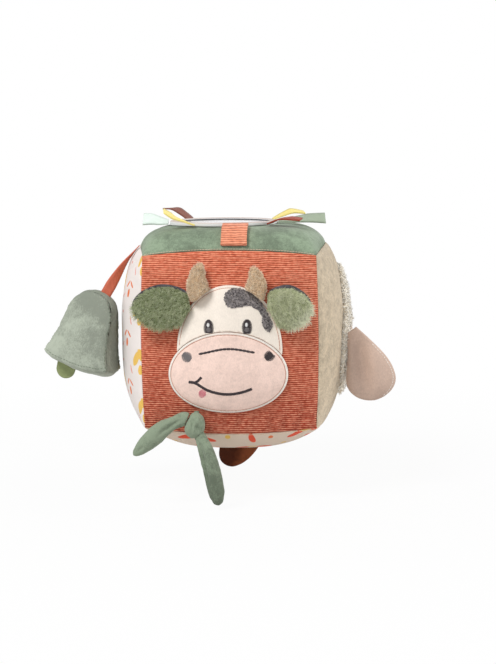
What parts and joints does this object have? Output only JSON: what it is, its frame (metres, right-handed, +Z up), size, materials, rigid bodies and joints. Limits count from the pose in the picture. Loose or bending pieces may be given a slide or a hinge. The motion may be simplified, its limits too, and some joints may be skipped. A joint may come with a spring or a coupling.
{
  "type": "soft fabric activity block",
  "caption": "Soft stuffed fabric activity cube for a baby with a padded cow face, floppy ears and scarf, a swinging stuffed bell, a sheep head, a mirror with ribbon tags and a tail tab.",
  "frame": {"origin": "centre of the flat spot under the bottom panel, on which the block stands", "axes": "+Z up, the cow's face looks along -Y, +X to the right as seen from the front"},
  "size_m": [0.198, 0.1249, 0.1586],
  "materials": {
    "corduroy": "matt wide-wale corduroy",
    "sage_velour": "short-pile velour",
    "beige_velour": "short-pile velour",
    "print_cotton": "printed plain-weave cotton",
    "white_velour": "short-pile velour",
    "pink_velour": "short-pile velour",
    "blush_velour": "short-pile velour",
    "charcoal_velour": "short-pile velour",
    "green_plush": "curly plush",
    "white_wool": "curly fleece",
    "horn_velour": "short-pile velour",
    "cream_thread": "satin-stitch embroidery",
    "dark_thread": "satin-stitch embroidery",
    "pink_thread": "satin-stitch embroidery",
    "terracotta_ribbon": "satin ribbon",
    "brown_ribbon": "satin ribbon",
    "yellow_ribbon": "satin ribbon",
    "sage_ribbon": "satin ribbon",
    "mint_ribbon": "satin ribbon",
    "olive_felt": "felt",
    "brown_suede": "suede cloth",
    "mirror_film": "flexible mirror film",
    "fibre": "loose polyester fibre"
  },
  "bodies": {
    "block": {"front_panel": "corduroy", "back_panel": "sage_velour", "left_panel": "print_cotton", "right_panel": "beige_velour", "top_panel": "sage_velour", "bottom_panel": "print_cotton", "filling": "fibre", "cow_head_pad": "white_velour", "cow_muzzle_pad": "pink_velour", "cow_muzzle_border": "cream_thread", "cow_patch": "charcoal_velour", "cow_left_eye": "dark_thread", "cow_right_eye": "dark_thread", "cow_left_nostril": "dark_thread", "cow_right_nostril": "dark_thread", "cow_brow_stitch": "dark_thread", "cow_smile": "dark_thread", "cow_tongue": "pink_thread", "sheep_wool": "white_wool", "sheep_face": "blush_velour", "mirror": "mirror_film", "mirror_ring": "blush_velour"},
    "bell_ribbon": {"bell_ribbon": "terracotta_ribbon"},
    "bell": {"bell_front_panel": "sage_velour", "bell_back_panel": "sage_velour", "bell_gusset": "sage_velour", "bell_filling": "fibre"},
    "bell_clapper": {"bell_clapper": "olive_felt"},
    "left_horn": {"left_horn": "horn_velour"},
    "right_horn": {"right_horn": "horn_velour"},
    "left_ear": {"left_ear_plush": "green_plush", "left_ear_back": "charcoal_velour"},
    "right_ear": {"right_ear_plush": "green_plush", "right_ear_back": "charcoal_velour"},
    "scarf_knot": {"scarf_knot": "sage_velour"},
    "scarf_left_end": {"scarf_left_end": "sage_velour"},
    "scarf_right_end": {"scarf_right_end": "sage_velour"},
    "sheep_front_ear": {"sheep_front_ear": "blush_velour"},
    "sheep_back_ear": {"sheep_back_ear": "blush_velour"},
    "pull_tab": {"pull_tab": "corduroy"},
    "tail_tab": {"tail_tab": "brown_suede"},
    "mint_ribbon": {"mint_ribbon": "mint_ribbon"},
    "brown_ribbon": {"brown_ribbon": "brown_ribbon"},
    "back_yellow_ribbon": {"back_yellow_ribbon": "yellow_ribbon"},
    "sage_ribbon": {"sage_ribbon": "sage_ribbon"},
    "terracotta_ribbon": {"terracotta_ribbon": "terracotta_ribbon"},
    "front_yellow_ribbon": {"front_yellow_ribbon": "yellow_ribbon"}
  },
  "joints": [
    {"name": "bell_ribbon_lift", "type": "hinge", "parent": "block", "child": "bell_ribbon", "pos_m": [-0.05188, -0.02, 0.11432], "axis": [0, 1, 0], "range_deg": [0, 100]},
    {"name": "bell_swing", "type": "hinge", "parent": "bell_ribbon", "child": "bell", "pos_m": [-0.07012, -0.025, 0.08777], "axis": [1, 0, 0], "range_deg": [-40, 40]},
    {"name": "bell_clapper_swing", "type": "hinge", "parent": "bell", "child": "bell_clapper", "pos_m": [-0.09484, -0.02109, 0.0467], "axis": [0.9119, -0.309, -0.2701], "range_deg": [-25, 25]},
    {"name": "left_horn_bend", "type": "hinge", "parent": "block", "child": "left_horn", "pos_m": [-0.0152, -0.0627, 0.0889], "axis": [0.7723, 0, 0.6353], "range_deg": [0, 60], "stiffness_Nm_per_rad": 0.0002},
    {"name": "right_horn_bend", "type": "hinge", "parent": "block", "child": "right_horn", "pos_m": [0.0145, -0.0629, 0.0899], "axis": [0.8114, 0, -0.5845], "range_deg": [0, 60], "stiffness_Nm_per_rad": 0.0002},
    {"name": "left_ear_bend", "type": "hinge", "parent": "block", "child": "left_ear", "pos_m": [-0.0232, -0.0615, 0.0745], "axis": [0.368, 0, 0.9298], "range_deg": [0, 60], "stiffness_Nm_per_rad": 0.0003},
    {"name": "right_ear_bend", "type": "hinge", "parent": "block", "child": "right_ear", "pos_m": [0.0242, -0.0615, 0.0745], "axis": [0.368, 0, -0.9298], "range_deg": [0, 60], "stiffness_Nm_per_rad": 0.0003},
    {"name": "scarf_knot_lift", "type": "hinge", "parent": "block", "child": "scarf_knot", "pos_m": [-0.0185, -0.0595, 0.027], "axis": [-1, 0, 0], "range_deg": [0, 60]},
    {"name": "scarf_left_end_lift", "type": "hinge", "parent": "scarf_knot", "child": "scarf_left_end", "pos_m": [-0.0186, -0.0581, 0.0208], "axis": [-0.4528, 0, 0.8916], "range_deg": [0, 60]},
    {"name": "scarf_right_end_lift", "type": "hinge", "parent": "scarf_knot", "child": "scarf_right_end", "pos_m": [-0.0186, -0.0581, 0.0202], "axis": [-1, 0, 0], "range_deg": [0, 75]},
    {"name": "sheep_front_ear_flap", "type": "hinge", "parent": "block", "child": "sheep_front_ear", "pos_m": [0.0659, -0.0214, 0.0672], "axis": [0.8131, 0, 0.5822], "range_deg": [-50, 5]},
    {"name": "sheep_back_ear_flap", "type": "hinge", "parent": "block", "child": "sheep_back_ear", "pos_m": [0.0659, 0.0214, 0.0612], "axis": [0.8131, 0, 0.5822], "range_deg": [-5, 50]},
    {"name": "pull_tab_lift", "type": "hinge", "parent": "block", "child": "pull_tab", "pos_m": [0.0028, -0.0312, 0.1265], "axis": [-1, 0, 0], "range_deg": [0, 90]},
    {"name": "tail_tab_swing", "type": "hinge", "parent": "block", "child": "tail_tab", "pos_m": [0.007, 0.051, 0.0125], "axis": [1, 0, 0], "range_deg": [0, 110]},
    {"name": "mint_ribbon_bend", "type": "hinge", "parent": "block", "child": "mint_ribbon", "pos_m": [-0.03707, 0, 0.12624], "axis": [-0.0698, 0.9976, 0], "range_deg": [0, 60], "stiffness_Nm_per_rad": 0.00001},
    {"name": "brown_ribbon_bend", "type": "hinge", "parent": "block", "child": "brown_ribbon", "pos_m": [-0.02694, 0.02532, 0.1262], "axis": [0.342, 0.9397, 0], "range_deg": [0, 60], "stiffness_Nm_per_rad": 0.00001},
    {"name": "back_yellow_ribbon_bend", "type": "hinge", "parent": "block", "child": "back_yellow_ribbon", "pos_m": [0.02121, 0.01884, 0.1262], "axis": [0.1392, -0.9903, 0], "range_deg": [0, 60], "stiffness_Nm_per_rad": 0.00001},
    {"name": "sage_ribbon_bend", "type": "hinge", "parent": "block", "child": "sage_ribbon", "pos_m": [0.02526, 0.00108, 0.1262], "axis": [0.0523, -0.9986, 0], "range_deg": [0, 60], "stiffness_Nm_per_rad": 0.00001},
    {"name": "terracotta_ribbon_bend", "type": "hinge", "parent": "block", "child": "terracotta_ribbon", "pos_m": [0.02043, -0.01969, 0.1262], "axis": [-0.2079, -0.9781, 0], "range_deg": [0, 60], "stiffness_Nm_per_rad": 0.00001},
    {"name": "front_yellow_ribbon_bend", "type": "hinge", "parent": "block", "child": "front_yellow_ribbon", "pos_m": [-0.01975, -0.03156, 0.1262], "axis": [-0.1392, 0.9903, 0], "range_deg": [0, 60], "stiffness_Nm_per_rad": 0.00001}
  ]
}
